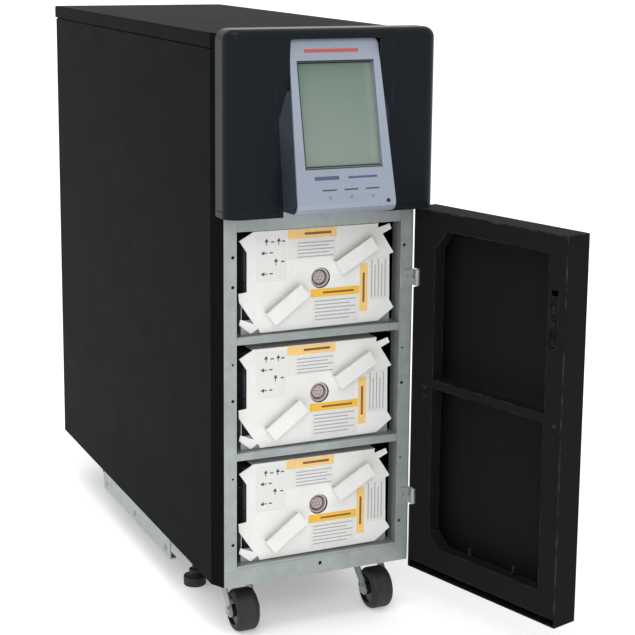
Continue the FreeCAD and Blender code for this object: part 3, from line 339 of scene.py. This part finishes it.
def print_ink(name, colour, rough=0.42):
    """Printed sticker stock with slight ink mottling."""
    n = Net(name)
    speck = n.noise(420.0, 4.0)
    tone = n.blend(n.span(speck, 0.35, 0.7), dim(colour, 0.93), dim(colour, 1.06))
    tone = n.blend(n.span(n.noise(35.0, 3.0), 0.5, 0.75, 0.0, 0.25), tone, dim(colour, 0.85))
    r = n.span(n.noise(60.0, 3.0), 0.3, 0.7, rough - 0.06, rough + 0.07)
    return n.set(base=tone, rough=r, normal=n.bump(speck, 0.08, 0.00004))


def board_material(name):
    """Solder mask with darker traces and tinned pads."""
    n = Net(name)
    traces = n.cells(210.0, n.stretch((1.0, 0.35, 1.0)), out="Distance")
    pads = n.cells(340.0, out="Distance")
    tone = n.blend(n.span(traces, 0.3, 0.36), (0.012, 0.05, 0.022), (0.02, 0.10, 0.045))
    tone = n.blend(n.span(pads, 0.14, 0.1), tone, (0.55, 0.55, 0.52))
    r = n.span(n.noise(80.0, 3.0), 0.3, 0.7, 0.28, 0.45)
    return n.set(base=tone, rough=r, normal=n.bump(traces, 0.25, 0.0002))


def wheel_material(name, node):
    """Rubber tyre and dished plastic hub, told apart by the distance from the axle."""
    low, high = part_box(node)
    mid = (low + high) / 2
    n = Net(name)
    x, y, z = n.split()[:3]
    dy = n.sum("SUBTRACT", y, mid.y)
    dz = n.sum("SUBTRACT", z, mid.z)
    r2 = n.sum("SQRT", n.sum("ADD", n.sum("MULTIPLY", dy, dy), n.sum("MULTIPLY", dz, dz)))
    tread = n.span(r2, 0.0207, 0.0213)
    across = n.sum("ABSOLUTE", n.sum("SUBTRACT", x, mid.x))
    lines = n.sum("SINE", n.sum("MULTIPLY", x, 2600.0))
    dust = n.noise(70.0, 6.0, 0.7)
    rubber = n.blend(n.span(dust, 0.35, 0.75), (0.011, 0.011, 0.0115), (0.034, 0.033, 0.032))
    rubber = n.blend(n.span(across, 0.0, 0.013, 0.35, 0.0), rubber, (0.04, 0.04, 0.039))
    hub = n.blend(n.span(n.noise(40.0, 4.0), 0.3, 0.7), (0.008, 0.008, 0.009), (0.016, 0.016, 0.017))
    tone = n.blend(tread, hub, rubber)
    r = n.blend(tread, (0.22, 0.22, 0.22), (0.62, 0.62, 0.62))
    r = n.sum("ADD", n.split(r)[0], n.span(dust, 0.3, 0.7, -0.05, 0.08))
    height = n.sum("MULTIPLY", n.sum("ADD", n.sum("MULTIPLY", lines, 0.25), dust), tread)
    return n.set(base=tone, rough=r, normal=n.bump(height, 0.4, 0.0003), spec=0.3)


def floor_material():
    n = Net("studio_floor")
    speck = n.noise(3.0, 4.0)
    tone = n.blend(n.span(speck, 0.3, 0.7), (0.93, 0.93, 0.93), (0.95, 0.95, 0.95))
    n.shader.inputs["Emission Color"].default_value = (1, 1, 1, 1)
    n.shader.inputs["Emission Strength"].default_value = 0.3
    return n.set(base=tone, rough=n.span(speck, 0.3, 0.7, 0.8, 0.9), spec=0.1)


def dress(node, material):
    mesh = NODES[node].data
    if not mesh.materials:
        mesh.materials.append(material)
    for i in range(len(mesh.materials)):
        mesh.materials[i] = material


def dress_frame():
    slots = {s["node"]: s["material_slot"] for s in frame["record"]["subparts"]}
    made = {
        "cabinet_paint": coated(
            "black_powder_coat",
            (0.0044, 0.005, 0.0048),
            0.5,
            0.5,
            vary=0.03,
            edge_wear_and_highlight_colour=(0.04, 0.04, 0.04),
            edge_wear_and_highlight_amount=0.3,
            ior=1.06,
        ),
        # Door coat: the pale edge colour at a high amount is partly wear and partly a painted highlight on the
        # edges of the door's bar and lips.
        "door_paint": coated(
            "satin_black_coat",
            (0.0095, 0.0095, 0.0096),
            0.45,
            0.5,
            800.0,
            0.00008,
            0.08,
            (0.09, 0.09, 0.09),
            0.8,
            1.05,
        ),
        "frame_steel": coated("dark_sheet_coat", (0.012, 0.012, 0.0125), 0.5, 0.5, ior=1.15),
        "zinc_steel": galvanised("galvanised_sheet", (0.345, 0.38, 0.375), 0.42, 0.5),
        "tray_steel": galvanised("galvanised_tray", (0.33, 0.35, 0.35), 0.45, 0.7, 120.0),
        # Bezel plastic: the pale edge colour is a painted highlight along its seams and rounded edges, with
        # some wear.
        "bezel_plastic": coated(
            "slate_plastic",
            (0.0075, 0.0098, 0.0132),
            0.22,
            0.5,
            1100.0,
            0.00004,
            0.06,
            (0.035, 0.041, 0.05),
            0.8,
            1.15,
        ),
        "silver_plastic": silver_paint("silver_paint"),
        "screen_window": screen_material("screen_glass"),
        "lamp_lens": print_ink("lamp_lens", (0.2, 0.22, 0.27), 0.2),
        "circuit_board": board_material("circuit_board"),
        "black_plastic": coated("black_moulding", (0.012, 0.012, 0.012), 0.45, 0.4, 900.0, 0.00008),
        "bare_aluminium": brushed("extruded_aluminium", (0.6, 0.61, 0.62)),
        "wound_core": coated("varnished_winding", (0.12, 0.06, 0.03), 0.4, 0.5, 500.0, 0.0003),
        "wheel_rubber": coated("black_rubber", (0.02, 0.02, 0.02), 0.6, 0.35, 500.0, 0.0002),
        "white_card": white_plastic("white_moulded_sheet"),
        "battery_case": coated("battery_case", (0.07, 0.075, 0.08), 0.5, 0.4, 700.0, 0.0001),
        "connector_plastic": coated(
            "connector_plastic", (0.46, 0.39, 0.39), 0.45, 0.45, 600.0, 0.0001, 0.1, (0.5, 0.45, 0.45), 0.4
        ),
    }
    for node in NODES:
        dress(node, made[slots[node]])
    # Painted highlight: the display housing gets a paler copy of the slate plastic with pale edges, to show the
    # lit facets of its cheeks.
    painted_highlight_slate = coated(
        "slate_with_painted_highlight", (0.024, 0.031, 0.04), 0.3, 0.5, 1100.0, 0.00004, 0.06, (0.1, 0.11, 0.13), 0.6, 1.2
    )
    dress("display_housing", painted_highlight_slate)
    for side in ("front_wheel_left", "front_wheel_right", "rear_wheel_left", "rear_wheel_right"):
        dress(side, wheel_material("rubber_" + side, side))
    return made


# ---------------------------------------------------------------- printed labels


def thin_plate(bm, corners, lift, sink=0.02):
    """A printed sheet as a closed slab over four corners, raised by lift and let in by sink, in millimetres."""
    a, b, c, d = (Vector(p) for p in corners)
    out = (b - a).cross(c - b).normalized()
    low = [bm.verts.new(at(*(p - out * sink))) for p in (a, b, c, d)]
    high = [bm.verts.new(at(*(p + out * lift))) for p in (a, b, c, d)]
    bm.faces.new(low[::-1])
    bm.faces.new(high)
    for i in range(4):
        j = (i + 1) % 4
        bm.faces.new((low[i], low[j], high[j], high[i]))


def flat_plate(bm, x0, x1, z0, z1, lift, y=-381.0):
    thin_plate(bm, [(x0, y, z0), (x1, y, z0), (x1, y, z1), (x0, y, z1)], lift)


def arrow(bm, x, z, way, size, y, lift):
    """A plain arrow, a stem with a three-cornered head, pointing up or left."""
    shapes = [
        [(-0.12, -0.9), (0.12, -0.9), (0.12, 0.0), (-0.12, 0.0)],
        [(-0.6, 0.0), (0.6, 0.0), (0.03, 1.0), (-0.03, 1.0)],
    ]
    for shape in shapes:
        points = []
        for u, v in shape:
            du, dv = (u, v) if way == "up" else (-v, u)
            points.append((x + du * size, y, z + dv * size))
        thin_plate(bm, points, lift)


def finish_piece(bm, name, body, material):
    bmesh.ops.recalc_face_normals(bm, faces=bm.faces[:])
    mesh = bpy.data.meshes.new(name)
    bm.to_mesh(mesh)
    bm.free()
    piece = bpy.data.objects.new(name, mesh)
    bpy.context.scene.collection.objects.link(piece)
    mesh.materials.append(material)
    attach(piece, body)
    return piece


PALE_PANELS = [(-91, -46, 71.5, 137), (-45, 27, 100, 127.6), (-8, 62.5, 7, 43.6), (77.8, 108, 34, 96)]
BARS = [(-45, 28, 128.6, 141.6), (64, 76.4, 19, 87)]
ARROWS = [(-76, 127, "up"), (-58, 127, "up"), (-79, 112, "left"), (-62, 99, "up"), (-79, 83, "left")]
DEEP_BARS = [(-10.5, 63.4, 44.6, 56.4)]
TOPS = {"lower": 94.0, "middle": 257.5, "upper": 421.0}


def module_labels(level, inks):
    """Stickers on one module's face: pale panels with plain rules and arrows, and two kinds of plain bar."""
    top = TOPS[level]
    body = "module_" + level
    sheets = (("pale", PALE_PANELS, "pale"), ("bar", BARS, "amber"), ("band", DEEP_BARS, "gold"))
    for part, plates, ink in sheets:
        bm = bmesh.new()
        for x0, x1, z0, z1 in plates:
            flat_plate(bm, x0, x1, top + z0, top + z1, 0.2)
        finish_piece(bm, f"label_{part}_{level}", body, inks[ink])
    bm = bmesh.new()
    y = -381.2
    for x, z, way in ARROWS:
        arrow(bm, x, top + z, way, 5.0, y, 0.06)
    for x, z in ((-67, 127), (-51, 127), (-69, 112), (-52, 99), (-69, 83)):
        flat_plate(bm, x - 2.4, x + 2.4, top + z - 0.9, top + z + 0.9, 0.06, y)
    finish_piece(bm, "label_arrows_" + level, body, inks["navy"])
    bm = bmesh.new()
    for n in range(5):
        z = top + 122.6 - 4.9 * n
        flat_plate(bm, -30, 24 - 7 * (n % 2), z - 0.7, z + 0.7, 0.06, y)
    for n in range(6):
        z = top + 39 - 5.2 * n
        flat_plate(bm, -4, 58 - 9 * (n % 2), z - 0.7, z + 0.7, 0.06, y)
    for n in range(5):
        x = 82.5 + 5.2 * n
        flat_plate(bm, x - 0.7, x + 0.7, top + 38, top + 92 - 8 * (n % 2), 0.06, y)
    finish_piece(bm, "label_rules_" + level, body, inks["rule"])
    bm = bmesh.new()
    for x0, x1, z0, z1 in ((-20, 20, 133.4, 136.8), (8, 55, 49.2, 52.0), (68.6, 71.8, 32, 74)):
        flat_plate(bm, x0, x1, top + z0, top + z1, 0.06, y)
    finish_piece(bm, "label_strokes_" + level, body, inks["brown"])


def face_y(z):
    return -426.0 + (823.0 - z) * (-50.0) / 211.0


def console_mark(bm, x0, x1, z0, z1, lift=0.1):
    low, high = face_y(z0), face_y(z1)
    thin_plate(bm, [(x0, low, z0), (x1, low, z0), (x1, high, z1), (x0, high, z1)], lift)


def screen_recess_shade(ink):
    """Painted shade: a dark band on the rim of the screen glass, inside the recess, along its top, foot and
    left side, and a dark line round its mouth.
    """
    half, low, high, wide, deep = 54.2, 658.0, 793.5, 2.6, 7.2

    def spot(x, z):
        return Vector((x, face_y(z) + deep, z))

    bm = bmesh.new()
    bars = [
        (-half, half, high - wide, high),
        (-half, half, low, low + wide * 0.6),
        (-half, -half + wide, low + wide * 0.6, high - wide),
    ]
    for x0, x1, z0, z1 in bars:
        thin_plate(bm, [spot(x0, z0), spot(x1, z0), spot(x1, z1), spot(x0, z1)], 0.12)
    edge = 1.5
    console_mark(bm, -half - edge, half + edge, high + 0.1, high + edge + 0.5)
    console_mark(bm, -half - edge, half + edge, low - edge, low - 0.1)
    console_mark(bm, -half - edge, -half - 0.1, low, high)
    console_mark(bm, half + 0.1, half + edge * 0.5, low, high)
    finish_piece(bm, "screen_recess_shade", "cabinet", ink)


def console_marks(inks):
    """Plain rules printed on the sloping face, over and under the screen."""
    bm = bmesh.new()
    console_mark(bm, -44, 34, 805.6, 810.2)
    finish_piece(bm, "console_rule_top", "cabinet", inks["red"])
    bm = bmesh.new()
    console_mark(bm, -44, -9, 642.6, 647.4)
    console_mark(bm, 4, 46, 643.4, 646.2)
    finish_piece(bm, "console_rule_name", "cabinet", inks["blue"])
    bm = bmesh.new()
    for x in (-24.0, 7.0, 38.0):
        console_mark(bm, x - 10, x + 10, 628.6, 630.4)
    finish_piece(bm, "console_rule_lamps", "cabinet", inks["navy"])


def bezel_back_strip(material):
    """Closes the hollow of the bezel above the top cover."""
    bm = bmesh.new()
    thin_plate(bm, [(-134, -391.2, 820), (134, -391.2, 820), (134, -391.2, 834.4), (-134, -391.2, 834.4)], 1.0)
    finish_piece(bm, "bezel_back_strip", "cabinet", material)


def add_labels():
    inks = {
        "pale": print_ink("pale_label_stock", (0.71, 0.71, 0.69)),
        "amber": print_ink("amber_label_ink", (0.86, 0.56, 0.2)),
        "gold": print_ink("gold_label_ink", (0.84, 0.48, 0.04)),
        "rule": print_ink("grey_label_ink", (0.33, 0.33, 0.35)),
        "brown": print_ink("brown_label_ink", (0.2, 0.09, 0.02)),
        "red": print_ink("dull_red_ink", (0.42, 0.07, 0.06)),
        "blue": print_ink("blue_grey_ink", (0.06, 0.07, 0.16)),
        "navy": print_ink("navy_ink", (0.03, 0.032, 0.06)),
        # Dark ink for the painted shade in the screen recess.
        "recess_shade": print_ink("recess_shade_paint", (0.012, 0.014, 0.013), 0.6),
    }
    for level in TOPS:
        module_labels(level, inks)
    console_marks(inks)
    screen_recess_shade(inks["recess_shade"])


make_camera()
make_studio()
MADE = dress_frame()
add_labels()
bezel_back_strip(MADE["bezel_plastic"])
